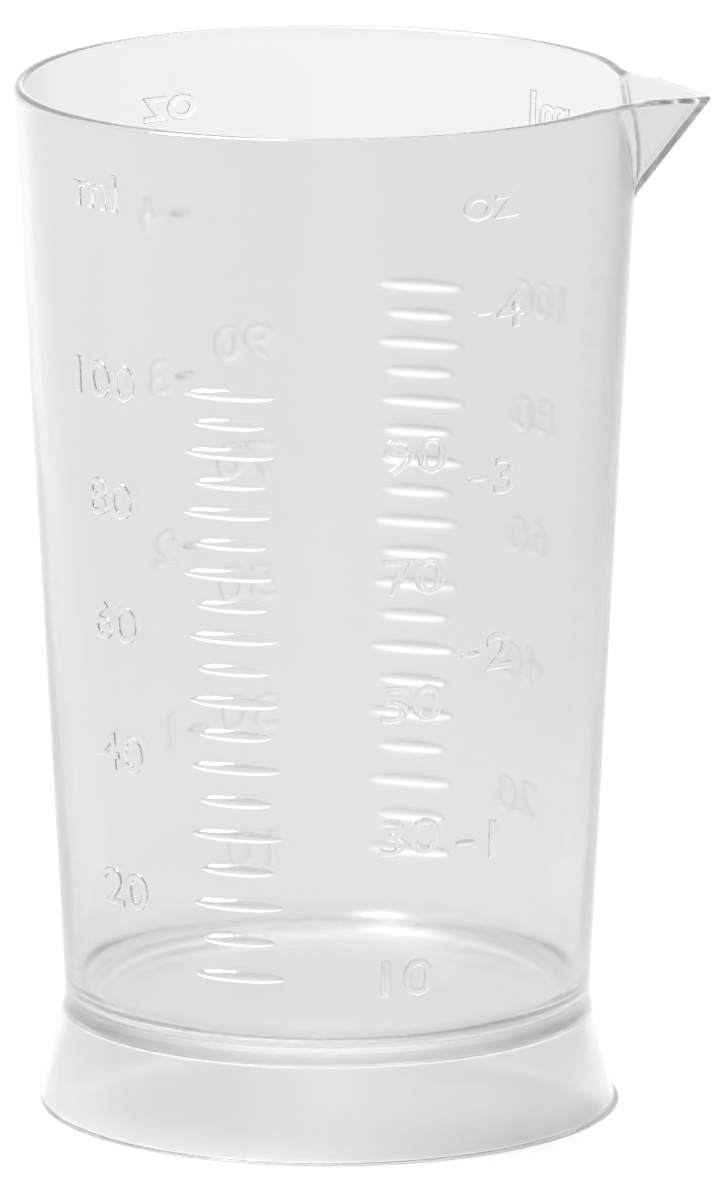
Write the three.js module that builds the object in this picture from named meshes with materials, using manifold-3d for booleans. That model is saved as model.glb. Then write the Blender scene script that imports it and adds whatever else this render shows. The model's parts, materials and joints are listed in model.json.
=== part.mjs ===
// Measuring cup: a clear moulded beaker with a pour spout, a hollow flared foot and two
// raised volume scales. Millimetres, +Z up, with the spout towards +X.
import * as THREE from 'three';
import { ConvexGeometry } from 'three/addons/geometries/ConvexGeometry.js';
import { mergeVertices } from 'three/addons/utils/BufferGeometryUtils.js';
import Module from 'manifold-3d';

// Body
const HEIGHT = 90; // table to rim
const RIM_DIAMETER = 54.1; // outside, at the rim
const WAIST_DIAMETER = 45.6; // outside, where the wall meets the foot
const FOOT_DIAMETER = 50.2; // outside, on the table
const FLOOR_HEIGHT = 9.4; // table to the top of the floor, level with the waist
const WALL_THICKNESS = 0.9; // wall and spout
const FLOOR_THICKNESS = 1.3;
const FOOT_THICKNESS = 1.2;
const FLOOR_FILLET = 0.8; // inside corner between wall and floor
const FOOT_FILLET = 0.5; // outer bottom edge of the foot

// Spout
const SPOUT_REACH = 6.6; // tip beyond the rim
const SPOUT_DROP = 1.1; // tip below the rim
const SPOUT_DEPTH = 10.4; // lower end of the keel below the rim
const SPOUT_HALF_ANGLE = 20; // degrees of rim that the mouth takes on each side

// Scales, one on each side of the cup, turned from the spout in degrees
const SCALE_TURNS = { front: -90, back: 90 };
const ML_FIRST = 10;
const ML_LAST = 100;
const ML_STEP = 5;
const ML_PER_LONG_MARK = 10;
const OZ_LAST = 4;
const ML_PER_OZ = 28.41; // imperial fluid ounce
const RIM_BAND = 6; // bare band under the rim, with no marks

// Raised marks, with turns in degrees from the middle of their scale
const ML_MARK_TURN = -17;
const OZ_MARK_TURN = 32.3;
const LONG_MARK_LENGTH = 8.2;
const SHORT_MARK_LENGTH = 6.6;
const OZ_MARK_LENGTH = 2;
const ML_MARK_WIDTH = 1;
const OZ_MARK_WIDTH = 0.6;
const MARK_RELIEF = 0.3;
const MARK_DRAFT = 0.2; // how far each long side leans in

// Finish and fineness
const PLASTIC_COLOUR = 0xf1f3f3;
const PLASTIC_ROUGHNESS = 0.12;
const PLASTIC_OPACITY = 0.4;
const SIDES = 96; // facets round the cup
const FILLET_STEPS = 5;
const SEAM = 0.02; // clearance between solids that meet on a slanted face
const CUT_MARGIN = 1; // how far a cutter runs past what it cuts

const MM3_PER_ML = 1000;
const RIM_RADIUS = RIM_DIAMETER / 2;
const WAIST_RADIUS = WAIST_DIAMETER / 2;
const FOOT_RADIUS = FOOT_DIAMETER / 2;
const FLOOR_UNDERSIDE = FLOOR_HEIGHT - FLOOR_THICKNESS;
const WALL_TAPER = (RIM_RADIUS - WAIST_RADIUS) / (HEIGHT - FLOOR_HEIGHT);
const FOOT_TAPER = (WAIST_RADIUS - FOOT_RADIUS) / FLOOR_HEIGHT;

const wasm = await Module();
wasm.setup();

function wallOuterRadius(z) {
  return WAIST_RADIUS + WALL_TAPER * (z - FLOOR_HEIGHT);
}

function wallInnerRadius(z) {
  return wallOuterRadius(z) - WALL_THICKNESS;
}

function footOuterRadius(z) {
  return FOOT_RADIUS + FOOT_TAPER * z;
}

// Height at which the cup holds a volume: a cone frustum standing on the floor
function fillHeight(millilitres) {
  const floorRadius = wallInnerRadius(FLOOR_HEIGHT);
  const volume = millilitres * MM3_PER_ML;
  const surfaceRadius = Math.cbrt(floorRadius ** 3 + (3 * WALL_TAPER * volume) / Math.PI);
  return FLOOR_HEIGHT + (surfaceRadius - floorRadius) / WALL_TAPER;
}

// Solid of revolution about +Z from an outline drawn anticlockwise as radius and height
function turned(outline) {
  return new THREE.LatheGeometry(outline.getPoints(FILLET_STEPS), SIDES).rotateX(Math.PI / 2);
}

function toSolid(geometry) {
  const bare = geometry.clone();
  bare.deleteAttribute('normal');
  bare.deleteAttribute('uv');
  const merged = mergeVertices(bare);
  const vertProperties = merged.getAttribute('position').array;
  const triVerts = Uint32Array.from(merged.getIndex().array);
  return new wasm.Manifold(new wasm.Mesh({ numProp: 3, vertProperties, triVerts }));
}

function toGeometry(solid) {
  const mesh = solid.getMesh();
  const geometry = new THREE.BufferGeometry();
  geometry.setAttribute('position', new THREE.BufferAttribute(mesh.vertProperties, 3));
  geometry.setIndex(new THREE.BufferAttribute(mesh.triVerts, 1));
  geometry.computeVertexNormals();
  return geometry;
}

// Foot: a flared ring under the floor, open below
function footOutline() {
  const outline = new THREE.Path();
  outline.moveTo(FOOT_RADIUS - FOOT_THICKNESS, 0);
  outline.lineTo(FOOT_RADIUS - FOOT_FILLET, 0);
  outline.quadraticCurveTo(FOOT_RADIUS, 0, footOuterRadius(FOOT_FILLET), FOOT_FILLET);
  outline.lineTo(footOuterRadius(FLOOR_UNDERSIDE), FLOOR_UNDERSIDE);
  outline.lineTo(footOuterRadius(FLOOR_UNDERSIDE) - FOOT_THICKNESS, FLOOR_UNDERSIDE);
  outline.lineTo(FOOT_RADIUS - FOOT_THICKNESS, 0);
  return outline;
}

// Floor: a disc that lies on the foot, with its edge carrying the foot's flare up to the waist
function floorOutline() {
  const outline = new THREE.Path();
  outline.moveTo(0, FLOOR_UNDERSIDE);
  outline.lineTo(footOuterRadius(FLOOR_UNDERSIDE), FLOOR_UNDERSIDE);
  outline.lineTo(WAIST_RADIUS, FLOOR_HEIGHT);
  outline.lineTo(0, FLOOR_HEIGHT);
  return outline;
}

// Wall: a tapered tube that stands on the floor, filleted inside where it meets it
function wallOutline() {
  const cornerRadius = wallInnerRadius(FLOOR_HEIGHT);
  const filletTop = FLOOR_HEIGHT + FLOOR_FILLET;
  const outline = new THREE.Path();
  outline.moveTo(cornerRadius - FLOOR_FILLET, FLOOR_HEIGHT);
  outline.lineTo(WAIST_RADIUS, FLOOR_HEIGHT);
  outline.lineTo(RIM_RADIUS, HEIGHT);
  outline.lineTo(wallInnerRadius(HEIGHT), HEIGHT);
  outline.lineTo(wallInnerRadius(filletTop), filletTop);
  outline.quadraticCurveTo(cornerRadius, FLOOR_HEIGHT, cornerRadius - FLOOR_FILLET, FLOOR_HEIGHT);
  return outline;
}

// Everything outside the wall's inner face, as far out as the spout can reach
function outsideOutline() {
  const farRadius = RIM_RADIUS + SPOUT_REACH + CUT_MARGIN;
  const outline = new THREE.Path();
  outline.moveTo(wallInnerRadius(FLOOR_HEIGHT), FLOOR_HEIGHT);
  outline.lineTo(farRadius, FLOOR_HEIGHT);
  outline.lineTo(farRadius, HEIGHT);
  outline.lineTo(wallInnerRadius(HEIGHT), HEIGHT);
  outline.lineTo(wallInnerRadius(FLOOR_HEIGHT), FLOOR_HEIGHT);
  return outline;
}

// Spout: two flat cheeks that meet in a keel, from the wall out to the tip
const keelFoot = new THREE.Vector3(wallOuterRadius(HEIGHT - SPOUT_DEPTH), 0, HEIGHT - SPOUT_DEPTH);
const spoutTip = new THREE.Vector3(RIM_RADIUS + SPOUT_REACH, 0, HEIGHT - SPOUT_DROP);
const mouthAngle = THREE.MathUtils.degToRad(SPOUT_HALF_ANGLE);
const leftCorner = new THREE.Vector3(
  RIM_RADIUS * Math.cos(mouthAngle),
  RIM_RADIUS * Math.sin(mouthAngle),
  HEIGHT,
);
const rightCorner = leftCorner.clone().setY(-leftCorner.y);
const rimCentre = new THREE.Vector3(0, 0, HEIGHT);
const nearestToAxis = new THREE.Line3(leftCorner, spoutTip).closestPointToPoint(
  rimCentre,
  false,
  new THREE.Vector3(),
);

// Planes of the spout, each facing out of it
const leftCheek = new THREE.Plane().setFromCoplanarPoints(leftCorner, spoutTip, keelFoot);
const rightCheek = new THREE.Plane().setFromCoplanarPoints(keelFoot, spoutTip, rightCorner);
const spoutTop = new THREE.Plane().setFromCoplanarPoints(leftCorner, rightCorner, spoutTip);
const spoutBack = new THREE.Plane(new THREE.Vector3(-1, 0, 0), nearestToAxis.x);

function movedIn(plane, distance) {
  return new THREE.Plane(plane.normal, plane.constant + distance);
}

function meetingPoint(a, b, c) {
  const bc = new THREE.Vector3().crossVectors(b.normal, c.normal);
  const ca = new THREE.Vector3().crossVectors(c.normal, a.normal);
  const ab = new THREE.Vector3().crossVectors(a.normal, b.normal);
  const scale = -1 / a.normal.dot(bc);
  const sum = bc.multiplyScalar(a.constant);
  sum.addScaledVector(ca, b.constant);
  sum.addScaledVector(ab, c.constant);
  return sum.multiplyScalar(scale);
}

// Pointed block between two cheeks, a top and a back, each moved in by its own distance
function spoutBlock(cheekInset, topInset, backInset) {
  const left = movedIn(leftCheek, cheekInset);
  const right = movedIn(rightCheek, cheekInset);
  const top = movedIn(spoutTop, topInset);
  const back = movedIn(spoutBack, backInset);
  const corners = [
    meetingPoint(left, right, top),
    meetingPoint(left, right, back),
    meetingPoint(left, top, back),
    meetingPoint(right, top, back),
  ];
  return toSolid(new ConvexGeometry(corners));
}

function spoutGeometry() {
  const outside = spoutBlock(SEAM, 0, 0);
  const channel = spoutBlock(WALL_THICKNESS, -CUT_MARGIN, -CUT_MARGIN);
  const beyondWall = toSolid(turned(outsideOutline()));
  return toGeometry(outside.subtract(channel).intersect(beyondWall));
}

function wallGeometry() {
  const mouth = spoutBlock(0, -CUT_MARGIN, 0);
  return toGeometry(toSolid(turned(wallOutline())).subtract(mouth));
}

// Raised mark: the stretch of a low ring round the wall that a block of its length takes out
function markGeometry(z, width, length, turn) {
  const low = z - width / 2;
  const high = z + width / 2;
  const outline = new THREE.Path();
  outline.moveTo(wallOuterRadius(low) + SEAM, low);
  outline.lineTo(wallOuterRadius(low + MARK_DRAFT) + MARK_RELIEF, low + MARK_DRAFT);
  outline.lineTo(wallOuterRadius(high - MARK_DRAFT) + MARK_RELIEF, high - MARK_DRAFT);
  outline.lineTo(wallOuterRadius(high) + SEAM, high);
  outline.lineTo(wallOuterRadius(low) + SEAM, low);
  const reach = RIM_DIAMETER;
  const block = new THREE.BoxGeometry(reach, length, width + 2 * CUT_MARGIN);
  block.translate(reach / 2, 0, z);
  block.rotateZ(THREE.MathUtils.degToRad(turn));
  return toGeometry(toSolid(turned(outline)).intersect(toSolid(block)));
}

// A mark is moulded only where the cup's wall is tall enough to carry it
function fitsOnWall(z, width) {
  return z + width / 2 < HEIGHT - RIM_BAND;
}

const cup = new THREE.Group();
cup.position.x = -SPOUT_REACH / 2; // centres rim and spout over the origin

function addPiece(name, geometry) {
  const material = new THREE.MeshStandardMaterial({
    color: PLASTIC_COLOUR,
    roughness: PLASTIC_ROUGHNESS,
    metalness: 0,
    transparent: true,
    opacity: PLASTIC_OPACITY,
  });
  const mesh = new THREE.Mesh(geometry, material);
  mesh.name = name;
  cup.add(mesh);
}

function addMark(name, millilitres, width, length, turn) {
  const z = fillHeight(millilitres);
  if (fitsOnWall(z, width)) addPiece(name, markGeometry(z, width, length, turn));
}

addPiece('foot_skirt', turned(footOutline()));
addPiece('cup_floor', turned(floorOutline()));
addPiece('cup_wall', wallGeometry());
addPiece('pour_spout', spoutGeometry());

for (const [side, scaleTurn] of Object.entries(SCALE_TURNS)) {
  for (let ml = ML_FIRST; ml <= ML_LAST; ml += ML_STEP) {
    const length = ml % ML_PER_LONG_MARK === 0 ? LONG_MARK_LENGTH : SHORT_MARK_LENGTH;
    addMark(`${side}_mark_${ml}_ml`, ml, ML_MARK_WIDTH, length, scaleTurn + ML_MARK_TURN);
  }
  for (let oz = 1; oz <= OZ_LAST; oz += 1) {
    const turn = scaleTurn + OZ_MARK_TURN;
    addMark(`${side}_mark_${oz}_oz`, oz * ML_PER_OZ, OZ_MARK_WIDTH, OZ_MARK_LENGTH, turn);
  }
}

const part = new THREE.Group();
part.add(cup);

export default part;
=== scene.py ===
# %% [markdown]
# # A clear plastic measuring beaker
# The real cup is one injection moulding: a tapered wall with a pointed pour spout, a floor, a flared
# hollow foot and two raised scales. Clear plastic shows every inner surface, so the visible model has
# to be one closed skin with a true wall thickness and no seams inside it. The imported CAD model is
# loaded first. It is the ruler of this lesson: every main size below is read from it.

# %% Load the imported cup
import json
import math
from collections import namedtuple

import bmesh
import bpy
from mathutils import Matrix, Vector

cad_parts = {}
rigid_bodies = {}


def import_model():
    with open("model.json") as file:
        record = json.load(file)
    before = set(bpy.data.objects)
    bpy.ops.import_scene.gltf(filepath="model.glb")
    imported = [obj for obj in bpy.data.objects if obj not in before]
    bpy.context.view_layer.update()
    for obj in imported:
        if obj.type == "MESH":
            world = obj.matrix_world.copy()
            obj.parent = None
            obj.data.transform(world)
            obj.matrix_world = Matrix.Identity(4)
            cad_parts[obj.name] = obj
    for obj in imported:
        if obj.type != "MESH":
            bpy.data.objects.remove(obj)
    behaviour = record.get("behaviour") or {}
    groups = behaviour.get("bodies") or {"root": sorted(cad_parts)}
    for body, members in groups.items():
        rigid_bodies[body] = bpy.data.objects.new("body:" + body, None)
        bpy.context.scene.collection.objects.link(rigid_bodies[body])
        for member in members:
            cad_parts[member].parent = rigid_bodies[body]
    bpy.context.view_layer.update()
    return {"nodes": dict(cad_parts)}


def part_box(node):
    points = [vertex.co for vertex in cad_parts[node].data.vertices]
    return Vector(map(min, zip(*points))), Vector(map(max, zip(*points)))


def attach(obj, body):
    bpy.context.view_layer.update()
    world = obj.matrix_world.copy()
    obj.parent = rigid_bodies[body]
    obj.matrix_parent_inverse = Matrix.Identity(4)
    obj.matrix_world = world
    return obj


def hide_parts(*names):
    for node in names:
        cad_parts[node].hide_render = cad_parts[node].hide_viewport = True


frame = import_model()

MM = 0.001

# %% [markdown]
# ## Reading the sizes of the body
# The CAD solids are turned about one upright axis, so two numbers describe any place on them: the
# distance from that axis and the height. They could be typed in again here, but a typed copy goes out
# of date when the CAD changes. Instead, a ring of CAD corners at one height gives the inner and outer
# radius there.

# %% Rings of CAD corners
LEVEL_TOLERANCE = 0.01 * MM

foot_low, foot_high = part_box("foot_skirt")
AXIS_X = (foot_low.x + foot_high.x) / 2


def corners_of(node):
    """Corners of a CAD node, with X counted from the cup's axis."""
    return [vertex.co - Vector((AXIS_X, 0, 0)) for vertex in frame["nodes"][node].data.vertices]


def ring(node, height):
    """Smallest and largest radius at one height, on the half of a node that faces away from the spout."""
    level = [corner for corner in corners_of(node) if abs(corner.z - height) < LEVEL_TOLERANCE]
    radii = [corner.xy.length for corner in level if corner.x < 0]
    return min(radii), max(radii)


print(f"the cup's axis stands at X = {AXIS_X / MM:.2f} mm")

# %% Radii and heights of the wall, the floor and the foot
FLOOR_UNDERSIDE, FLOOR_TOP = (corner.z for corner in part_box("cup_floor"))
RIM_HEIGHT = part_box("cup_wall")[1].z
RIM_INNER, RIM_RADIUS = ring("cup_wall", RIM_HEIGHT)
WAIST_RADIUS = ring("cup_wall", FLOOR_TOP)[1]
FOOT_INNER = ring("foot_skirt", 0)[0]
FOOT_INNER_TOP = ring("foot_skirt", FLOOR_UNDERSIDE)[0]
foot_widest = max(corners_of("foot_skirt"), key=lambda corner: corner.xy.length)
FOOT_TAPER = (foot_widest.xy.length - WAIST_RADIUS) / (FLOOR_TOP - foot_widest.z)
FOOT_RADIUS = WAIST_RADIUS + FOOT_TAPER * FLOOR_TOP
WALL = RIM_RADIUS - RIM_INNER
WALL_TAPER = (RIM_RADIUS - WAIST_RADIUS) / (RIM_HEIGHT - FLOOR_TOP)
outer_radii = {"rim": RIM_RADIUS, "waist": WAIST_RADIUS, "foot": FOOT_RADIUS}
print("outer radii in mm:", {name: round(radius / MM, 2) for name, radius in outer_radii.items()})
print(f"wall {WALL / MM:.2f} mm thick, floor from {FLOOR_UNDERSIDE / MM:.2f} to {FLOOR_TOP / MM:.2f} mm")

# %% [markdown]
# ## Reading the spout
# The spout is a folded V: two flat cheeks that meet in a keel. A plane is the shortest way to describe
# a flat cheek, so one is laid through three corners of the CAD spout: the lowest one on the keel, the
# tip, and the outermost one at the rim. The other cheek mirrors it.

# %% Plane of one cheek and slope of the spout's rim
spout = corners_of("pour_spout")
keel_foot = min(spout, key=lambda corner: corner.z)
spout_tip = max(spout, key=lambda corner: corner.x)
mouth_corner = max(spout, key=lambda corner: corner.y)
cheek = (spout_tip - keel_foot).cross(mouth_corner - keel_foot).normalized()
if cheek.x < 0:
    cheek.negate()
CHEEK_REACH = cheek.dot(spout_tip)
CHEEK_FACING = math.atan2(cheek.y, cheek.x)
rim_reach = CHEEK_REACH - cheek.z * RIM_HEIGHT
MOUTH_HALF_ANGLE = CHEEK_FACING - math.acos(rim_reach / (RIM_RADIUS * cheek.xy.length))
MOUTH_X = RIM_RADIUS * math.cos(MOUTH_HALF_ANGLE)
tip_drop = RIM_HEIGHT - spout_tip.z
TIP_SLOPE = tip_drop / (spout_tip.x - MOUTH_X)
print(f"mouth takes {2 * math.degrees(MOUTH_HALF_ANGLE):.1f} degrees of the rim")
print(f"tip {tip_drop / MM:.2f} mm below the rim")

# %% [markdown]
# ## Sums that write nodes
# A rule such as "radius grows with height" is one line of maths but many Math nodes. They could be
# placed by hand or one call at a time, which is hard to read back. The class below wraps one socket of
# a node tree instead. Adding or multiplying wrapped sockets adds the Math node and its links, so the
# rule can be read as a sum. Its method node() adds any other kind of node: first its settings, then its
# sockets.

# %% A socket that can be used in sums
def set_stops(ramp, stops):
    """Give a colour ramp its stops, each a place from 0 to 1 and a colour."""
    while len(ramp.elements) < len(stops):
        ramp.elements.new(1)
    for element, (place, colour) in zip(ramp.elements, stops):
        element.position = place
        element.color = colour


class Wire:
    """An output socket of a node tree, for use in Python expressions."""

    def __init__(self, tree, socket=None):
        self.tree = tree
        self.socket = socket

    def node(self, kind, settings=None, inputs=None):
        """Add a node of any kind to this wire's tree and return its first output."""
        made = self.tree.nodes.new(kind)
        for name, value in (settings or {}).items():
            if name == "stops":
                set_stops(made.color_ramp, value)
            else:
                setattr(made, name, value)
        for name, value in (inputs or {}).items():
            if isinstance(value, Wire):
                self.tree.links.new(value.socket, made.inputs[name])
            else:
                made.inputs[name].default_value = value
        in_use = [socket for socket in made.outputs if socket.enabled]
        return Wire(self.tree, in_use[0] if in_use else None)

    def of(self, name):
        """Another output of the node that this wire comes from."""
        return Wire(self.tree, self.socket.node.outputs[name])

    def math(self, operation, *values):
        """A Math node on this wire and further values."""
        return self.node("ShaderNodeMath", {"operation": operation}, dict(enumerate((self, *values))))

    def __add__(self, other):
        return self.math("ADD", other)

    def __radd__(self, other):
        return self.math("ADD", other)

    def __sub__(self, other):
        return self.math("SUBTRACT", other)

    def __rsub__(self, other):
        return (self * -1).math("ADD", other)

    def __mul__(self, other):
        return self.math("MULTIPLY", other)

    def __rmul__(self, other):
        return self.math("MULTIPLY", other)

    def __truediv__(self, other):
        return self.math("DIVIDE", other)


print("node sums ready")

# %% [markdown]
# ## Running a tree
# A Geometry Nodes tree is a recipe. Its named inputs take the sizes, and a modifier runs it on an
# object. The modifier could stay live, but what follows needs plain meshes, so the result is kept and
# the modifier goes.

# %% Make, close and run a tree
KINDS = {int: "NodeSocketInt", float: "NodeSocketFloat", bpy.types.Material: "NodeSocketMaterial"}


def new_tree(name, sizes):
    """A geometry tree with a named input for each size, and a wire for each input."""
    tree = bpy.data.node_groups.new(name, "GeometryNodeTree")
    tree.interface.new_socket("Geometry", in_out="OUTPUT", socket_type="NodeSocketGeometry")
    tree.interface.new_socket("Geometry", in_out="INPUT", socket_type="NodeSocketGeometry")
    for title, value in sizes.items():
        tree.interface.new_socket(title, in_out="INPUT", socket_type=KINDS[type(value)])
    entry = tree.nodes.new("NodeGroupInput")
    return tree, {socket.name: Wire(tree, socket) for socket in entry.outputs if socket.name}


def close_tree(geometry, material):
    """End a tree in Realize Instances and Set Material."""
    solid = geometry.node("GeometryNodeRealizeInstances", inputs={"Geometry": geometry})
    solid = solid.node("GeometryNodeSetMaterial", inputs={"Geometry": solid, "Material": material})
    exit_node = geometry.tree.nodes.new("NodeGroupOutput")
    geometry.tree.links.new(solid.socket, exit_node.inputs["Geometry"])


def plain_mesh(source, name):
    """The object's evaluated shape as a new mesh object."""
    evaluated = source.evaluated_get(bpy.context.evaluated_depsgraph_get())
    mesh = bpy.data.meshes.new_from_object(evaluated)
    mesh.name = name
    made = bpy.data.objects.new(name, mesh)
    bpy.context.collection.objects.link(made)
    return made


def run_tree(source, tree, sizes, name):
    """Run a tree on a source object, and put the result in its place as a plain mesh object."""
    modifier = source.modifiers.new(tree.name, "NODES")
    modifier.node_group = tree
    for item in tree.interface.items_tree:
        if item.in_out == "INPUT" and item.name in sizes:
            modifier[item.identifier] = sizes[item.name]
    made = plain_mesh(source, name)
    bpy.data.objects.remove(source)
    return made


print("tree tools ready")

# %% [markdown]
# ## Outline of the cup
# Cut down the middle, the cup is one closed strip of plastic. Its outline starts at the middle of the
# floor, goes up the inside of the wall, over the rim, down the outside, round the foot and back under
# the floor. A Bevel modifier could round the finished edges, but on a thin wall its widths collide. So
# the corners are rounded in the outline: a poly curve holds it, and the radius of each curve point is
# the rounding of that corner.

# %% Rows of the wall, close together where the spout needs them
WAIST_FILLET = 3.0 * MM
SPOUT_ROW = 0.55 * MM
SPOUT_RUN_OUT = 3 * MM
SPOUT_START = keel_foot.z - SPOUT_RUN_OUT
SCALE_ROW = 2.5 * MM
SCALE_START = FLOOR_TOP + 2 * WAIST_FILLET / 3


def wall_radius(height):
    """Outer radius of the tapered wall."""
    return RIM_RADIUS + WALL_TAPER * (height - RIM_HEIGHT)


def rows_between(low, high, spacing):
    """Heights from low up to just under high, about one spacing apart."""
    count = round((high - low) / spacing)
    return [low + (high - low) * step / count for step in range(count)]


spout_rows = rows_between(SPOUT_START, RIM_HEIGHT, SPOUT_ROW)[:-1]
scale_rows = rows_between(SCALE_START, SPOUT_START, SCALE_ROW)
print(len(spout_rows), "rows for the spout,", len(scale_rows), "below it")

# %% Outline corners: radius, height and rounding of each
RIM_ROUNDING = 0.42 * MM
FLOOR_FILLET = 2.5 * MM
FOOT_EDGE_ROUNDING = 0.2 * MM
FOOT_INNER_ROUNDING = 0.5 * MM
MID_FLOOR = 0.5 * WAIST_RADIUS

outline = [(0, FLOOR_TOP, 0), (MID_FLOOR, FLOOR_TOP, 0)]
outline += [(wall_radius(FLOOR_TOP) - WALL, FLOOR_TOP, FLOOR_FILLET)]
outline += [(wall_radius(height) - WALL, height, 0) for height in spout_rows]
outline += [(RIM_INNER, RIM_HEIGHT, RIM_ROUNDING), (RIM_RADIUS, RIM_HEIGHT, RIM_ROUNDING)]
outline += [(wall_radius(height), height, 0) for height in reversed(scale_rows + spout_rows)]
outline += [(WAIST_RADIUS, FLOOR_TOP, WAIST_FILLET)]
outline += [(FOOT_RADIUS, 0, FOOT_EDGE_ROUNDING), (FOOT_INNER, 0, FOOT_EDGE_ROUNDING)]
outline += [(FOOT_INNER_TOP, FLOOR_UNDERSIDE, FOOT_INNER_ROUNDING)]
outline += [(MID_FLOOR, FLOOR_UNDERSIDE, 0), (0, FLOOR_UNDERSIDE, 0)]
print(len(outline), "outline corners")

# %% Curve that holds the outline
curve = bpy.data.curves.new("cup_outline", "CURVE")
curve.dimensions = "3D"
spline = curve.splines.new("POLY")
spline.points.add(len(outline) - 1)
for point, (radius, height, rounding) in zip(spline.points, outline):
    point.co = (radius, 0, height, 1)
    point.radius = rounding
outline_object = bpy.data.objects.new("cup_outline", curve)
bpy.context.collection.objects.link(outline_object)
print("outline curve:", len(spline.points), "points")

# %% [markdown]
# ## Turning the cup with a rule for the spout
# A lathe or a Screw modifier would turn the outline, but the spout then has to be welded on, and a weld
# shows in clear plastic. Here a grid is laid on the outline and turned, and the spout is part of the
# rule: on its side of the cup, each point is pushed out to the larger of two radii, the cone's and the
# cheek's. A smooth maximum leaves a moulded fillet between them. The grid columns stand closer together
# near the keel, where the shape turns fastest.

# %% Sizes of the turned cup
clear_plastic = bpy.data.materials.new("clear_moulded_plastic")
body_sizes = {
    "Sides": 360,
    "Corner Steps": 6,
    "Crowding": 0.6,
    "Axis X": AXIS_X,
    "Rim Height": RIM_HEIGHT,
    "Rim Radius": RIM_RADIUS,
    "Wall Taper": WALL_TAPER,
    "Wall": WALL,
    "Cheek X": cheek.x,
    "Cheek Y": cheek.y,
    "Cheek Z": cheek.z,
    "Cheek Reach": CHEEK_REACH,
    "Cheek Facing": CHEEK_FACING,
    "Mouth X": MOUTH_X,
    "Tip Slope": TIP_SLOPE,
    "Spout Start": SPOUT_START,
    "Keel Rounding": 0.012,
    "Spout Fillet": 0.5 * MM,
    "Notch Dip": 0.45 * MM,
    "Notch Start": 1.5 * MOUTH_HALF_ANGLE,
    "Notch End": 0.8 * MOUTH_HALF_ANGLE,
    "Material": clear_plastic,
}
print(len(body_sizes), "inputs for the body tree")

# %% Grid on the rounded outline
DIVISION_GUARD = 0.001  # keeps a whole column number from being rounded down


def turned_grid(size):
    """A flat grid with a column for each side and a row for each point of the rounded outline."""
    start = size["Geometry"]
    rounding = start.node("GeometryNodeInputRadius")
    strip = start.node(
        "GeometryNodeFilletCurve",
        {"mode": "POLY"},
        {"Curve": start, "Count": size["Corner Steps"], "Radius": rounding, "Limit Radius": True},
    )
    rows = strip.node("GeometryNodeAttributeDomainSize", {"component": "CURVE"}, {"Geometry": strip})
    columns = size["Sides"] + 1
    grid = rows.node("GeometryNodeMeshGrid", inputs={"Vertices X": columns, "Vertices Y": rows})
    index = grid.node("GeometryNodeInputIndex")
    column = (index / rows + DIVISION_GUARD).math("FLOOR")
    place = grid.node("GeometryNodeInputPosition")
    point = place.node(
        "GeometryNodeSampleIndex",
        {"data_type": "FLOAT_VECTOR", "domain": "POINT"},
        {"Geometry": strip, "Value": place, "Index": index - column * rows},
    )
    parts = point.node("ShaderNodeSeparateXYZ", inputs={"Vector": point})
    return grid, column, parts.of("X"), parts.of("Z")


print("a row for each outline point,", body_sizes["Sides"], "columns round the cup")

# %% Rule that folds the spout
def spout_rule(size, turn, radius, height):
    """Radius and height of a point after the spout is folded out of the cone."""
    swing = turn.math("ABSOLUTE").math("MINIMUM", size["Cheek Facing"])
    forward = swing.math("COSINE")
    aside = (swing.math("SINE").math("POWER", 2) + size["Keel Rounding"].math("POWER", 2)).math("SQRT")
    lean = size["Cheek X"] * forward + size["Cheek Y"] * aside

    # How far the spout's edge, and the notch where it leaves the rim, lie below the rim
    level = size["Rim Height"] + size["Tip Slope"] * size["Mouth X"]
    fall = size["Cheek Z"] * size["Tip Slope"] * forward
    edge = (size["Cheek Reach"] - size["Cheek Z"] * level) / (lean - fall)
    past_mouth = edge.math("MAXIMUM", size["Rim Radius"]) * forward - size["Mouth X"]
    notch = swing.node(
        "ShaderNodeMapRange",
        {"interpolation_type": "SMOOTHSTEP"},
        {0: swing, 1: size["Notch Start"], 2: size["Notch End"], 3: 0.0, 4: size["Notch Dip"]},
    )
    drop = (size["Tip Slope"] * past_mouth.math("MAXIMUM", 0)).math("MAXIMUM", notch)
    climbed = (height - size["Spout Start"]).math("MAXIMUM", 0)
    raised = climbed / (size["Rim Height"] - size["Spout Start"])
    new_height = height - raised * drop

    # The larger of cone and cheek, for the outer and the inner skin
    cone = size["Rim Radius"] + size["Wall Taper"] * (new_height - size["Rim Height"])
    reach = size["Cheek Reach"] - size["Cheek Z"] * new_height
    outer = cone.math("SMOOTH_MAX", reach / lean, size["Spout Fillet"])
    inner = (cone - size["Wall"]).math("SMOOTH_MAX", (reach - size["Wall"]) / lean, size["Spout Fillet"])
    old_cone = size["Rim Radius"] + size["Wall Taper"] * (height - size["Rim Height"])
    through = (radius - old_cone + size["Wall"]) / size["Wall"]
    folded = inner + through * (outer - inner)
    above = height.math("GREATER_THAN", size["Spout Start"])
    return radius + above * (folded - radius), new_height


print(f"the spout starts {(RIM_HEIGHT - SPOUT_START) / MM:.1f} mm below the rim")

# %% Tree that turns the outline and folds the spout
SEAM_WELD = 0.001 * MM


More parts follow.
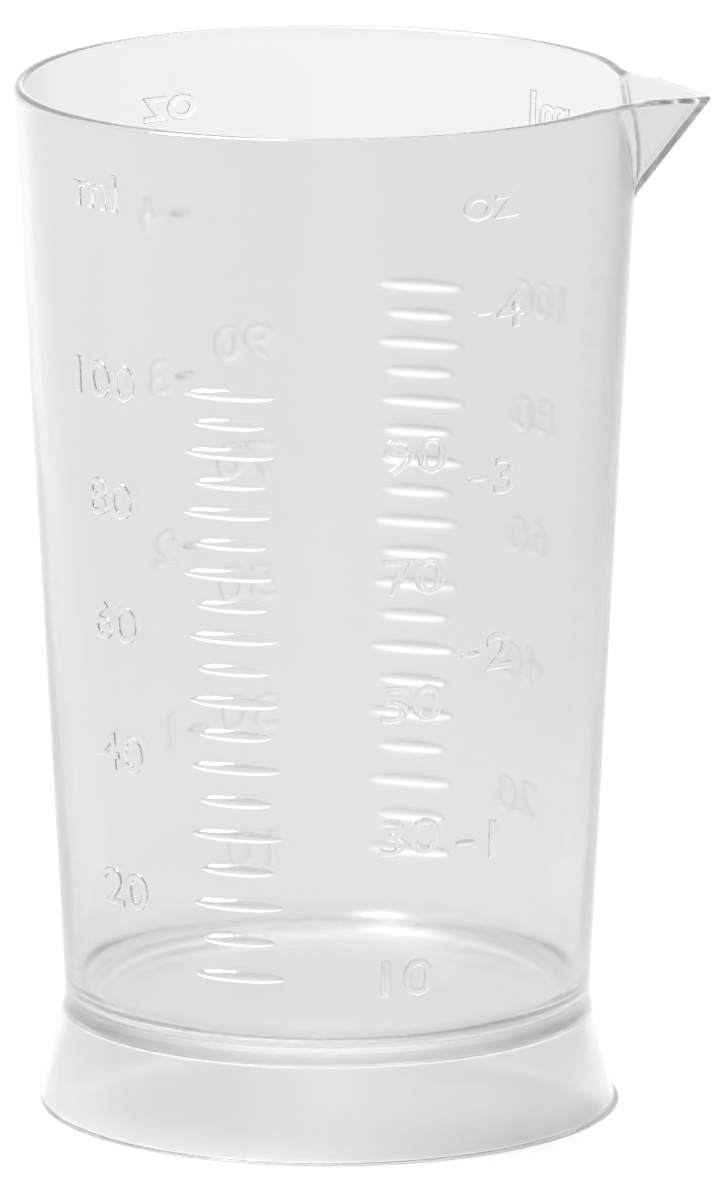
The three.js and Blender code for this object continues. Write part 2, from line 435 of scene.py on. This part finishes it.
def build_body_tree(sizes):
    """The tree that makes the plain cup, without its scales."""
    tree, size = new_tree("turn_cup", sizes)
    grid, column, radius, height = turned_grid(size)
    swing = column / size["Sides"] * 2 - 1
    turn = math.pi * (swing * (1 - size["Crowding"]) + size["Crowding"] * swing * swing * swing)
    radius, height = spout_rule(size, turn, radius, height)
    along, aside = size["Axis X"] + radius * turn.math("COSINE"), radius * turn.math("SINE")
    place = radius.node("ShaderNodeCombineXYZ", inputs={"X": along, "Y": aside, "Z": height})
    cup = place.node("GeometryNodeSetPosition", inputs={"Geometry": grid, "Position": place})
    cup = cup.node("GeometryNodeMergeByDistance", inputs={"Geometry": cup, "Distance": SEAM_WELD})
    cup = cup.node("GeometryNodeFlipFaces", inputs={"Mesh": cup})
    close_tree(cup, size["Material"])
    return tree


body = run_tree(outline_object, build_body_tree(body_sizes), body_sizes, "cup_moulding")
print("body:", len(body.data.polygons), "faces")

# %% [markdown]
# ## Places of the scale marks
# Each raised mark exists as a CAD node, so its height, its place round the cup, its length and its
# width are read from there. Copies of an object could be placed one by one; loose points with
# attributes, one point for each mark, do the same and are ready for instances.

# %% One point for each raised mark
Mark = namedtuple("Mark", "turn length height width")


def measured_mark(node):
    """Turn about the axis, length round the wall, height and width of one CAD mark."""
    corners = corners_of(node)
    middle = sum(corners, Vector()) / len(corners)
    turn = math.atan2(middle.y, middle.x)
    along = Vector((-math.sin(turn), math.cos(turn), 0))
    sides = [along.dot(corner) for corner in corners]
    heights = [corner.z for corner in corners]
    length = max(sides) - min(sides)
    return Mark(turn, length, (max(heights) + min(heights)) / 2, max(heights) - min(heights))


marks = {name: measured_mark(name) for name in frame["nodes"] if "_mark_" in name}
points = bpy.data.meshes.new("scale_points")
points.from_pydata([(0, mark.height, 0) for mark in marks.values()], [], [])
for title in ("turn", "length", "width"):
    attribute = points.attributes.new(title, "FLOAT", "POINT")
    attribute.data.foreach_set("value", [getattr(mark, title) for mark in marks.values()])
scale_points = bpy.data.objects.new("scale_points", points)
bpy.context.collection.objects.link(scale_points)
mark_heights = [mark.height / MM for mark in marks.values()]
print(f"{len(marks)} marks from {min(mark_heights):.1f} to {max(mark_heights):.1f} mm")

# %% [markdown]
# ## Raised marks
# In the mould a mark is a groove cut with a ball-ended tool, so on the cup it is a low round ridge that
# tapers at its ends. A box would have hard edges and square ends; a sphere drawn out to a grain has the
# right shape. Its instances lie flat first, with length and width from the attributes, and are then
# wrapped round the tapered wall: sideways becomes a turn, and upwards stays height.

# %% Wrapping rule
wall_sizes = {title: body_sizes[title] for title in ("Axis X", "Rim Height", "Rim Radius", "Wall Taper")}


def wrapped(flat, size):
    """Flat geometry (X along the wall, Y up, Z outwards) wrapped round the cup at its turn attribute."""
    place = flat.node("GeometryNodeInputPosition")
    flat_place = place.node("ShaderNodeSeparateXYZ", inputs={"Vector": place})
    column = flat.node("GeometryNodeInputNamedAttribute", {"data_type": "FLOAT"}, {"Name": "turn"})
    height = flat_place.of("Y")
    radius = size["Rim Radius"] + size["Wall Taper"] * (height - size["Rim Height"])
    turn = column + flat_place.of("X") / radius
    reach = radius + flat_place.of("Z")
    along, aside = size["Axis X"] + reach * turn.math("COSINE"), reach * turn.math("SINE")
    round_place = reach.node("ShaderNodeCombineXYZ", inputs={"X": along, "Y": aside, "Z": height})
    return flat.node("GeometryNodeSetPosition", inputs={"Geometry": flat, "Position": round_place})


print("wrapping rule takes", ", ".join(wall_sizes))

# %% Shape of one mark
GRAIN_SEGMENTS = 14
GRAIN_RINGS = 12
END_BLUNTNESS = 0.8
ROOF_FALL = 1.35


def grain(start):
    """A sphere drawn out along X, with blunt ends and a roof that falls faster towards its sides."""
    steps = {"Segments": GRAIN_SEGMENTS, "Rings": GRAIN_RINGS, "Radius": 1.0}
    sphere = start.node("GeometryNodeMeshUVSphere", inputs=steps)
    place = sphere.node("GeometryNodeInputPosition")
    parts = place.node("ShaderNodeSeparateXYZ", inputs={"Vector": place})
    pole, across, out = parts.of("Z"), parts.of("X"), parts.of("Y")
    drawn = pole.math("SIGN") * pole.math("ABSOLUTE").math("POWER", END_BLUNTNESS)
    girth = (across * across + out * out).math("SQRT")
    slope = (across.math("ABSOLUTE") / girth).math("POWER", ROOF_FALL)
    roof = out.math("SIGN") * girth * (1 - slope)
    shape = drawn.node("ShaderNodeCombineXYZ", inputs={"X": drawn, "Y": across, "Z": roof})
    return shape.node("GeometryNodeSetPosition", inputs={"Geometry": sphere, "Position": shape})


print("one mark:", GRAIN_SEGMENTS * GRAIN_RINGS, "faces")

# %% Tree that lays the marks and wraps them round the wall
MARK_RELIEF = 0.3 * MM


def build_marks_tree(sizes):
    """The tree that makes a ridge at each scale point."""
    tree, size = new_tree("raise_marks", sizes)
    start = size["Geometry"]
    length, width = (
        start.node("GeometryNodeInputNamedAttribute", {"data_type": "FLOAT"}, {"Name": title})
        for title in ("length", "width")
    )
    half = {"X": length / 2, "Y": width / 2, "Z": size["Relief"]}
    scale = length.node("ShaderNodeCombineXYZ", inputs=half)
    ridges = start.node(
        "GeometryNodeInstanceOnPoints", inputs={"Points": start, "Instance": grain(start), "Scale": scale}
    )
    ridges = ridges.node("GeometryNodeRealizeInstances", inputs={"Geometry": ridges})
    close_tree(wrapped(ridges, size), size["Material"])
    return tree


mark_sizes = {**wall_sizes, "Relief": MARK_RELIEF, "Material": clear_plastic}
mark_ridges = run_tree(scale_points, build_marks_tree(mark_sizes), mark_sizes, "mark_ridges")
print("marks:", len(mark_ridges.data.polygons), "faces")

# %% [markdown]
# ## Raised numbers
# The numbers are plain digits beside their marks, and each scale has its unit above it. They could be a
# bump in the material, but a bump has no side to catch the light through clear plastic. A text object
# with a little extrusion and bevel is a raised letter. As a mesh it lies flat and carries the turn of
# its column.

# %% One flat raised text
LABEL_RELIEF = 0.12 * MM
LABEL_SUNK = 0.32 * MM
LABEL_BEVEL = 0.2 * MM
LABEL_WEIGHT = 0.12 * MM
LABEL_STEPS = 3
LABEL_WELD = 0.0005 * MM


def flat_label(text, size):
    """A raised text as a closed flat mesh."""
    letters = bpy.data.curves.new("label", "FONT")
    letters.body = text
    letters.size = size
    letters.resolution_u = LABEL_STEPS
    letters.extrude = (LABEL_RELIEF + LABEL_SUNK) / 2 - LABEL_BEVEL
    letters.bevel_depth = LABEL_BEVEL
    letters.bevel_resolution = LABEL_STEPS
    letters.offset = LABEL_WEIGHT - LABEL_BEVEL
    carrier = bpy.data.objects.new("label", letters)
    bpy.context.collection.objects.link(carrier)
    mesh = bpy.data.meshes.new_from_object(carrier.evaluated_get(bpy.context.evaluated_depsgraph_get()))
    bpy.data.objects.remove(carrier)
    bpy.data.curves.remove(letters)
    welded = bmesh.new()
    welded.from_mesh(mesh)
    bmesh.ops.remove_doubles(welded, verts=welded.verts, dist=LABEL_WELD)
    bmesh.ops.recalc_face_normals(welded, faces=welded.faces)
    welded.to_mesh(mesh)
    welded.free()
    return mesh


print(f"letters stand {LABEL_RELIEF / MM} mm out of the wall")

# %% Font size for the wanted height of a digit
DIGIT_HEIGHT = 3.4 * MM


def spread(mesh, axis):
    """Lowest and highest place of a mesh along one axis."""
    places = [vertex.co[axis] for vertex in mesh.vertices]
    return min(places), max(places)


sample = flat_label("0", 1.0)
bottom, top = spread(sample, 1)
bpy.data.meshes.remove(sample)
FONT_SIZE = (DIGIT_HEIGHT - 2 * LABEL_WEIGHT) / (top - bottom)
DIGIT_MIDDLE = FONT_SIZE * (top + bottom) / 2
print(f"font size {FONT_SIZE / MM:.2f} mm for digits {DIGIT_HEIGHT / MM:.1f} mm high")

# %% List of the numbers and units, with the turn of each column in degrees from the middle of its scale
SCALE_TURNS = {"front": -math.pi / 2, "back": math.pi / 2}
COLUMN_TURNS = {"even": -45.5, "odd": 19.6, "oz": 38.9, "oz heading": 34}
UNIT_HEIGHT = 83.9 * MM

labels = []
for name, mark in marks.items():
    side, _, amount, unit = name.split("_")
    if unit == "oz":
        labels.append((amount, side, "oz", mark.height))
    elif int(amount) % 20 == 0:
        labels.append((amount, side, "even", mark.height))
    elif int(amount) % 10 == 0:
        labels.append((amount, side, "odd", mark.height))
for side in SCALE_TURNS:
    labels += [("ml", side, "even", UNIT_HEIGHT), ("oz", side, "oz heading", UNIT_HEIGHT)]
print(len(labels), "labels:", " ".join(text for text, side, _, _ in labels if side == "front"))

# %% All numbers in one flat mesh, each at its column's turn
DIGIT_STRETCH = 1.28
LABEL_MIDDLE = (LABEL_RELIEF - LABEL_SUNK) / 2

collector = bmesh.new()
turn_layer = collector.verts.layers.float.new("turn")
for text, side, column, height in labels:
    mesh = flat_label(text, FONT_SIZE)
    left, right = spread(mesh, 0)
    middle = DIGIT_STRETCH * (left + right) / 2
    mesh.transform(Matrix.Diagonal((DIGIT_STRETCH, 1, 1, 1)))
    mesh.transform(Matrix.Translation((-middle, height - DIGIT_MIDDLE, LABEL_MIDDLE)))
    known = len(collector.verts)
    collector.from_mesh(mesh)
    collector.verts.ensure_lookup_table()
    for vertex in collector.verts[known:]:
        vertex[turn_layer] = SCALE_TURNS[side] + math.radians(COLUMN_TURNS[column])
    bpy.data.meshes.remove(mesh)
open_edges = sum(not edge.is_manifold for edge in collector.edges)
label_mesh = bpy.data.meshes.new("flat_labels")
collector.to_mesh(label_mesh)
collector.free()
flat_labels = bpy.data.objects.new("flat_labels", label_mesh)
bpy.context.collection.objects.link(flat_labels)
print(len(label_mesh.polygons), "faces,", open_edges, "open edges")

# %% [markdown]
# ## Numbers on the wall
# On the cup the numbers follow the curve and the taper of the wall. A Curve or Shrinkwrap modifier
# could bend them, but the marks already have an exact rule for this wall, so the same rule wraps the
# numbers.

# %% Tree that wraps the numbers round the wall
def build_labels_tree(sizes):
    """The tree that wraps the flat numbers."""
    tree, size = new_tree("wrap_labels", sizes)
    close_tree(wrapped(size["Geometry"], size), size["Material"])
    return tree


label_sizes = {**wall_sizes, "Material": clear_plastic}
raised_labels = run_tree(flat_labels, build_labels_tree(label_sizes), label_sizes, "raised_labels")
print("numbers:", len(raised_labels.data.polygons), "faces on the wall")

# %% [markdown]
# ## One moulding
# Marks and numbers are sunk a little into the wall. Left like that, their buried halves would show as
# glass inside glass. A Boolean union removes what is buried and leaves one closed skin. Edges sharper
# than the angle stay crisp, the rest is shaded smooth.

# %% Unite body, marks and numbers
SHARP_ANGLE = math.radians(35)

for added in (mark_ridges, raised_labels):
    union = body.modifiers.new(added.name, "BOOLEAN")
    union.operation = "UNION"
    union.solver = "MANIFOLD"
    union.object = added
moulding = plain_mesh(body, "measuring_cup_moulding")
for spent in (body, mark_ridges, raised_labels):
    bpy.data.objects.remove(spent)
moulding.data.polygons.foreach_set("use_smooth", [True] * len(moulding.data.polygons))
moulding.data.set_sharp_from_angle(angle=SHARP_ANGLE)

check = bmesh.new()
check.from_mesh(moulding.data)
volume = check.calc_volume(signed=True) / MM ** 3
loose = sum(not edge.is_manifold for edge in check.edges)
triangles = sum(len(face.verts) - 2 for face in check.faces)
check.free()
print(f"moulding: {triangles} triangles, {loose} open edges, {volume:.0f} cubic mm of plastic")

# %% Tie the moulding to the CAD cup
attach(moulding, "root")
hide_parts(*frame["nodes"])
print(moulding.name, "stands for", len(frame["nodes"]), "CAD nodes")

# %% [markdown]
# ## Finish of the plastic
# Injection-moulded clear plastic is smooth but never perfect. The flow into the mould leaves soft
# upright waves and a trace of uneven tint, and use leaves a faint haze, strongest on the floor and the
# foot. All three are too fine to model. Noise on Object coordinates gives them: a bump for the waves,
# roughness for the haze, and a colour ramp for the tint.

# %% Waves, haze and tint over the surface
WAVE_SCALE = 150.0
WAVE_HEIGHT = 0.02 * MM
WAVE_DRAWN_UP = 0.4
HAZE_SCALE = 60.0
POLISH = 0.045
HAZE = 0.05
RUBBED = 0.05
RUBBED_HEIGHT = 9 * MM
RUBBED_END = 16 * MM
TINT_SCALE = 25.0
TINT_STOPS = ((0.3, (0.843, 0.846, 0.85, 1)), (0.7, (0.856, 0.855, 0.851, 1)))


def fade(value, first, last, before, after):
    """A number that goes from before to after while value goes from first to last."""
    return value.node("ShaderNodeMapRange", inputs={0: value, 1: first, 2: last, 3: before, 4: after})


clear_plastic.use_nodes = True
clear_plastic.node_tree.nodes.clear()
plastic = Wire(clear_plastic.node_tree)
place = plastic.node("ShaderNodeTexCoord").of("Object")
flow = place.node("ShaderNodeMapping", inputs={"Vector": place, "Scale": (1, 1, WAVE_DRAWN_UP)})
waves = flow.node("ShaderNodeTexNoise", inputs={"Vector": flow, "Scale": WAVE_SCALE, "Detail": 1.0})
ripple = waves.node("ShaderNodeBump", inputs={"Distance": WAVE_HEIGHT, "Height": waves.of("Fac")})
handled = place.node("ShaderNodeTexNoise", inputs={"Vector": place, "Scale": HAZE_SCALE, "Detail": 4.0})
height = place.node("ShaderNodeSeparateXYZ", inputs={"Vector": place}).of("Z")
rubbed = fade(height, RUBBED_HEIGHT, RUBBED_END, RUBBED, 0.0)
roughness = POLISH + HAZE * handled.of("Fac") + rubbed
uneven = place.node("ShaderNodeTexNoise", inputs={"Vector": place, "Scale": TINT_SCALE, "Detail": 2.0})
tint = uneven.node("ShaderNodeValToRGB", {"stops": TINT_STOPS}, {"Fac": uneven.of("Fac")})
print(f"waves {WAVE_HEIGHT / MM} mm high, roughness {POLISH} to {POLISH + HAZE + RUBBED:.3f}")

# %% [markdown]
# ## Clear plastic
# The plastic bends light like polystyrene or acrylic and takes a little of it: each face tints what
# passes, and the thickness takes more where a wall is seen edge-on. A see-through Alpha would show no
# edges at all, so this is true refraction, with absorption in the volume.

# %% Shader of the moulding
REFRACTION = 1.49
LET_THROUGH = (0.9, 0.9, 0.9, 1)
ABSORPTION = 40.0

shader = plastic.node(
    "ShaderNodeBsdfPrincipled",
    inputs={
        "Base Color": tint,
        "Roughness": roughness,
        "IOR": REFRACTION,
        "Transmission Weight": 1.0,
        "Normal": ripple,
    },
)
inside = {"Color": LET_THROUGH, "Density": ABSORPTION}
thickness = plastic.node("ShaderNodeVolumeAbsorption", inputs=inside)
plastic.node("ShaderNodeOutputMaterial", inputs={"Surface": shader, "Volume": thickness})
print("plastic:", len(clear_plastic.node_tree.nodes), "nodes")

# %% [markdown]
# ## White table
# The cup stands on a white surface that is brighter than paper white, as on a light table. A white
# table lit by lamps would do, but it needs strong light that also washes out the plastic. So the table
# glows a little by itself, with painted light and shade: less in front and on the right, more on the
# left and far behind. Painted shadow darkens it inside the hollow foot, softly around it, and under the
# foot's edge.

# %% Glow of the table, with painted light and shade from place to place
TABLE_GLOW = 0.88
# The painted shadow of the foot is shifted a little to the right, as if the light came from the left
SHADE_SHIFT = 0.2 * MM

table_white = bpy.data.materials.new("light_table_white")
table_white.use_nodes = True
table_white.node_tree.nodes.clear()
table = Wire(table_white.node_tree)
place = table.node("ShaderNodeTexCoord").of("Object")
place = place.node("ShaderNodeSeparateXYZ", inputs={"Vector": place})

# Painted light and shade on the table: darker on the right and in front, lighter on the left and far
# behind
# Each fade names two places in metres and the change of glow at each of them
right_painted_shade = fade(place.of("X"), 0.045, 0.15, 0.0, 0.45)
front = fade(place.of("Y"), -0.08, -0.35, 0.0, 0.25)
left_painted_light = fade(place.of("X"), -0.06, -0.16, 0.0, 0.05)
far_painted_light = fade(place.of("Y"), 0.5, 1.2, 0.0, 0.7)

# Distance from the axis of the foot, for its painted shadow
aside = place.of("X") - AXIS_X - SHADE_SHIFT
from_axis = (aside * aside + place.of("Y") * place.of("Y")).math("SQRT")
print("table glow:", len(table_white.node_tree.nodes), "nodes so far")

# %% Painted shadow of the foot on the table
HOLLOW_RADIUS = 23.5 * MM
HOLLOW_BLUR = 0.4 * MM
EDGE_WIDTH = 0.6 * MM
EDGE_BLUR = 0.15 * MM

# Painted shade on the table inside the hollow foot
hollow = fade(from_axis, HOLLOW_RADIUS - HOLLOW_BLUR, HOLLOW_RADIUS + HOLLOW_BLUR, 1.0, 0.0)
# Painted shade: the hollow is darker towards its right and left, and darkest on the right
painted_shade_to_sides = fade(aside, 0.0, 22 * MM, 0.15, 0.36) + fade(aside, -4 * MM, -20 * MM, 0.0, 0.14)
hollow = hollow * painted_shade_to_sides
# Soft painted shadow on the table around the foot
around = fade(from_axis, FOOT_RADIUS, 2.5 * FOOT_RADIUS, 0.08, 0.0)
# Painted contact shadow on the table under the foot's edge
from_edge = (from_axis - (FOOT_INNER + FOOT_RADIUS) / 2).math("ABSOLUTE")
painted_contact_shadow = fade(from_edge, EDGE_WIDTH, EDGE_WIDTH + EDGE_BLUR, 0.45, 1.0)
# All painted shade of the table together
shade = hollow + around + right_painted_shade.math("MAXIMUM", front)
glow = (TABLE_GLOW + far_painted_light + left_painted_light - shade) * painted_contact_shadow
print("table glow:", len(table_white.node_tree.nodes), "nodes")

# %% Table
TABLE_HALF = 12.0
TABLE_GREY = (0.32, 0.32, 0.32, 1)

white = table.node(
    "ShaderNodeBsdfPrincipled",
    inputs={
        "Base Color": TABLE_GREY,
        "Roughness": 1.0,
        "Specular IOR Level": 0.0,
        "Emission Color": glow,
        "Emission Strength": 1.0,
    },
)
table.node("ShaderNodeOutputMaterial", inputs={"Surface": white})
table_corners = [(x * TABLE_HALF, y * TABLE_HALF, 0) for x, y in ((-1, -1), (1, -1), (1, 1), (-1, 1))]
table_mesh = bpy.data.meshes.new("studio_floor")
table_mesh.from_pydata(table_corners, [], [(0, 1, 2, 3)])
table_mesh.materials.append(table_white)
studio_floor = bpy.data.objects.new("studio_floor", table_mesh)
bpy.context.collection.objects.link(studio_floor)
print(f"table {2 * TABLE_HALF:.0f} m wide")

# %% [markdown]
# ## Pale surround
# A clear cup mostly shows what is around it. The surround is a plain pale room: bright behind the cup,
# darker behind the camera and at both sides, where it draws the edges of the wall, with a low band of
# light behind the table that turns the raised marks white. An environment picture could do this too,
# but a few fades over the view direction are easier to steer.

# %% World, with its brightness in each direction
world = bpy.data.worlds.new("studio_world")
bpy.context.scene.world = world
world.use_nodes = True
world.node_tree.nodes.clear()
room = Wire(world.node_tree)
ways = room.node("ShaderNodeTexCoord").of("Generated")
ways = ways.node("ShaderNodeSeparateXYZ", inputs={"Vector": ways})

# Each fade names two values of the view direction and the brightness at each of them
sides = fade(ways.of("X").math("ABSOLUTE"), 0.1, 0.6, 1.0, 0.3)
front_to_back = fade(ways.of("Y"), -1.0, 0.2, 0.45, 1.1)
behind = fade(ways.of("Y"), 0.2, 0.7, 0.0, 0.9)
low_band = fade(ways.of("Z"), 0.13, 0.19, 1.0, 0.35)
strength = sides * (front_to_back + behind * low_band)
background = room.node("ShaderNodeBackground", inputs={"Color": (1, 1, 1, 1), "Strength": strength})
room.node("ShaderNodeOutputWorld", inputs={"Surface": background})
print("surround:", len(world.node_tree.nodes), "nodes")

# %% [markdown]
# ## Soft light
# One large soft light above on the left gives the bright spot at the back of the floor and the gloss on
# the marks. It could light the table too, but then its shape would show through every wall, so it is
# seen in reflections only.

# %% Softbox above on the left
SOFTBOX_PLACE = Vector((-0.62, -0.3, 1.1))
SOFTBOX_AIM = Vector((0, 0, 0.05))
SOFTBOX_WIDTH = 0.38
SOFTBOX_LENGTH = 1.1
SOFTBOX_RADIANCE = 90.0

lamp = bpy.data.lights.new("top_softbox", "AREA")
lamp.shape = "RECTANGLE"
lamp.size = SOFTBOX_WIDTH
lamp.size_y = SOFTBOX_LENGTH
lamp.energy = SOFTBOX_RADIANCE * math.pi * SOFTBOX_WIDTH * SOFTBOX_LENGTH
softbox = bpy.data.objects.new("top_softbox", lamp)
bpy.context.collection.objects.link(softbox)
softbox.location = SOFTBOX_PLACE
softbox.rotation_euler = (SOFTBOX_AIM - SOFTBOX_PLACE).to_track_quat("-Z", "Y").to_euler()
softbox.visible_camera = False
softbox.visible_diffuse = False
softbox.visible_transmission = False
print(f"softbox of {lamp.energy:.0f} W, {SOFTBOX_PLACE.length:.2f} m away")

# %% [markdown]
# ## Long light paths
# Inside a thin clear wall, light bounces many times before it leaves, above all near the edges. With
# the usual limit those paths end black, so the limit is raised. The plain Standard view keeps the white
# of the table white.

# %% Bounces and view
BOUNCES = 128

bpy.context.scene.view_settings.view_transform = "Standard"
light_paths = bpy.context.scene.cycles
light_paths.max_bounces = BOUNCES
light_paths.glossy_bounces = BOUNCES
light_paths.transmission_bounces = BOUNCES
print("up to", BOUNCES, "bounces")

# %% [markdown]
# ## Camera
# The rim, the waist and the foot show as ellipses. Their flatness gives a camera about 12 degrees above
# the cup, and the nearly parallel walls give a long lens from far away. A near camera with a short lens
# would spread the rim.

# %% Long lens at the photograph's angle
CAMERA_TURN = math.radians(2.3)
CAMERA_DISTANCE = 1.5
CAMERA_HEIGHT = 0.371
FOCAL_PIXELS = 17720
IMAGE_HEIGHT = 1200
AIM_RIGHT = 3.05 * MM
AIM_HEIGHT = 44.26 * MM
SENSOR_WIDTH = 36

camera_data = bpy.data.cameras.new("photo_camera")
camera_data.sensor_width = SENSOR_WIDTH
camera_data.lens = FOCAL_PIXELS * SENSOR_WIDTH / IMAGE_HEIGHT
camera_data.clip_end = 100
camera = bpy.data.objects.new("photo_camera", camera_data)
bpy.context.collection.objects.link(camera)
right = Vector((math.cos(CAMERA_TURN), math.sin(CAMERA_TURN), 0))
away = Vector((math.sin(CAMERA_TURN), -math.cos(CAMERA_TURN), 0))
axis = Vector((AXIS_X, 0, 0))
camera.location = axis + away * CAMERA_DISTANCE + Vector((0, 0, CAMERA_HEIGHT))
aim = axis + right * AIM_RIGHT + Vector((0, 0, AIM_HEIGHT))
camera.rotation_euler = (aim - camera.location).to_track_quat("-Z", "Y").to_euler()
bpy.context.scene.camera = camera
tilt = math.atan2(CAMERA_HEIGHT - AIM_HEIGHT, CAMERA_DISTANCE)
print(f"lens {camera_data.lens:.0f} mm, looking down {math.degrees(tilt):.1f} degrees")
